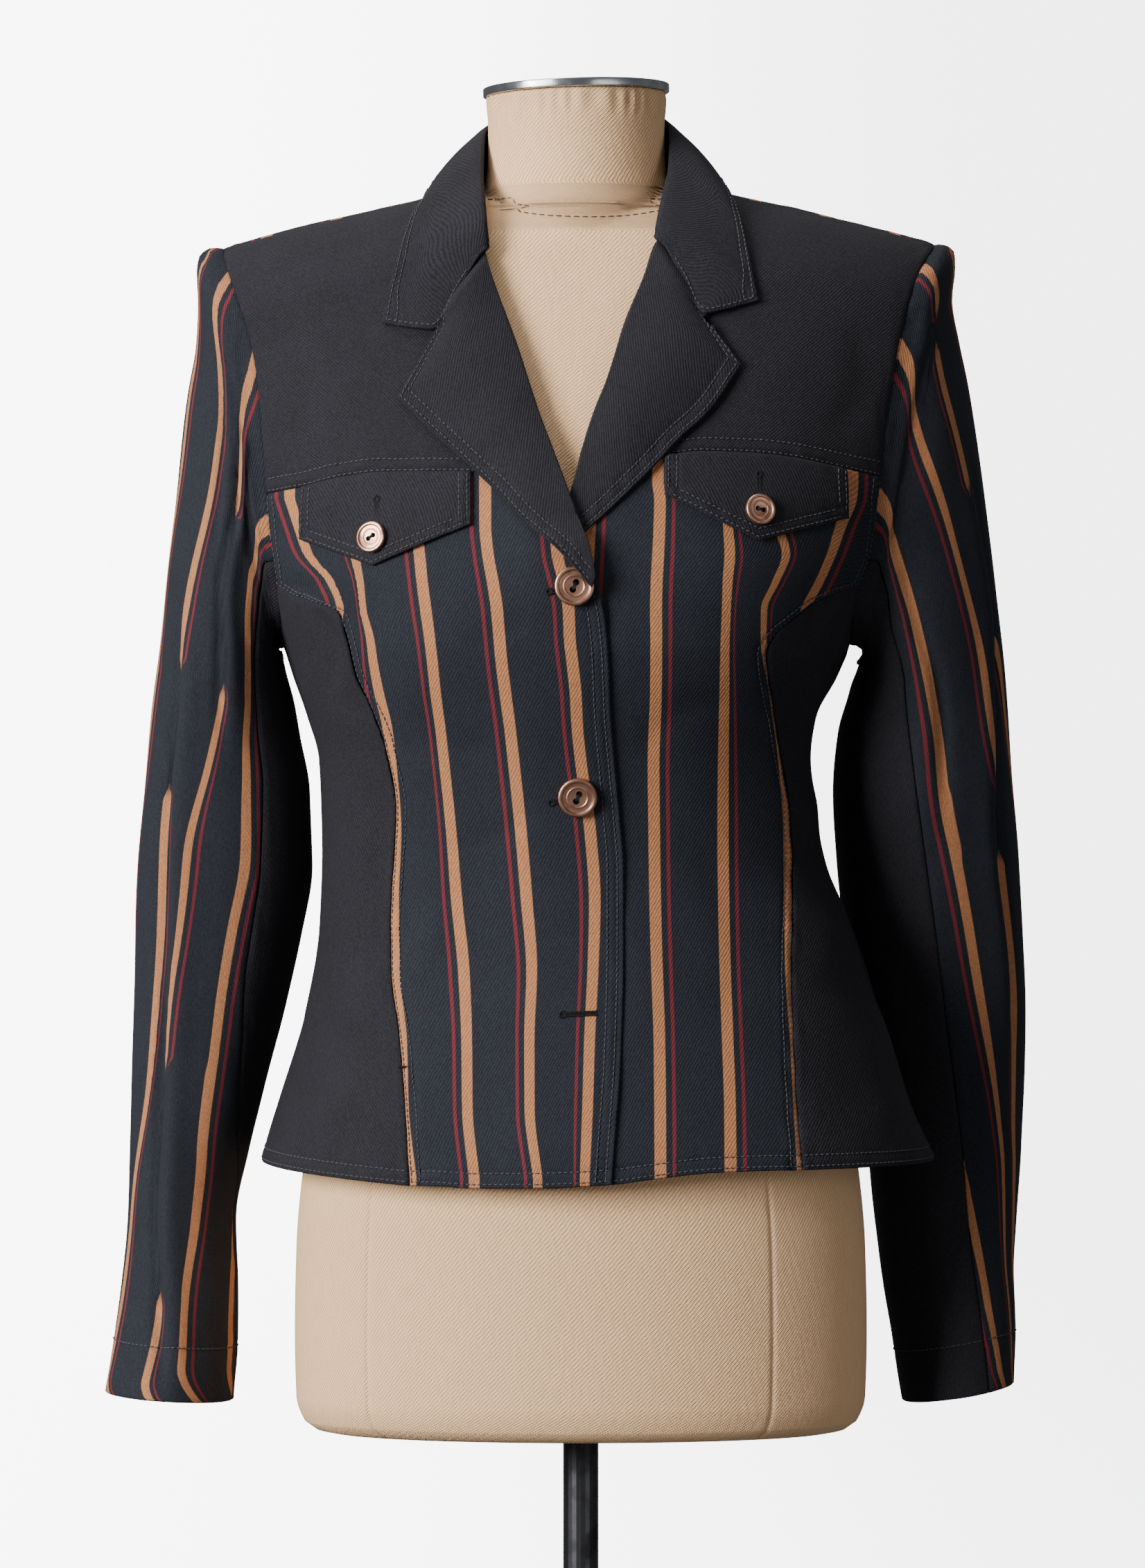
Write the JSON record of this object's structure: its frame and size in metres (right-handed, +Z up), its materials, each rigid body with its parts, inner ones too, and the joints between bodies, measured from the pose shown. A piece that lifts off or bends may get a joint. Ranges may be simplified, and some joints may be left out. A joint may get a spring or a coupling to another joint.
{
  "type": "blazer on a dress form",
  "caption": "Fitted blazer with striped fronts, plain yokes and side panels, notched lapels and flap pockets, worn on a limbless dress form with a round stand.",
  "frame": {"origin": "centre of the underside of the round base, on the floor", "axes": "+Z up, -Y towards the front of the blazer, +X towards the wearer's left"},
  "size_m": [0.5532, 0.39, 1.4244],
  "materials": {
    "black_twill": "matte black twill",
    "striped_twill": "dark twill with orange and dark red stripes",
    "tan_canvas": "plain tan canvas, stretched smooth",
    "bright_plate": "polished",
    "dark_steel": "satin black paint",
    "dark_iron": "satin black paint over iron",
    "aged_copper": "antique copper, worn bright on the rim"
  },
  "bodies": {
    "root": {"front_yoke_right": "black_twill", "front_yoke_left": "black_twill", "front_right": "striped_twill", "front_left": "striped_twill", "side_right": "black_twill", "side_left": "black_twill", "back_right": "striped_twill", "back_left": "striped_twill", "collar": "black_twill", "lapel_right": "black_twill", "lapel_left": "black_twill", "sleeve_top_right": "striped_twill", "sleeve_top_left": "striped_twill", "sleeve_under_right": "black_twill", "sleeve_under_left": "black_twill", "flap_right": "black_twill", "flap_left": "black_twill", "flap_button_right": "aged_copper", "flap_button_left": "aged_copper", "front_button_upper": "aged_copper", "front_button_lower": "aged_copper", "form_torso": "tan_canvas", "form_cap": "bright_plate", "form_pole": "dark_steel", "form_base": "dark_iron"}
  },
  "joints": []
}
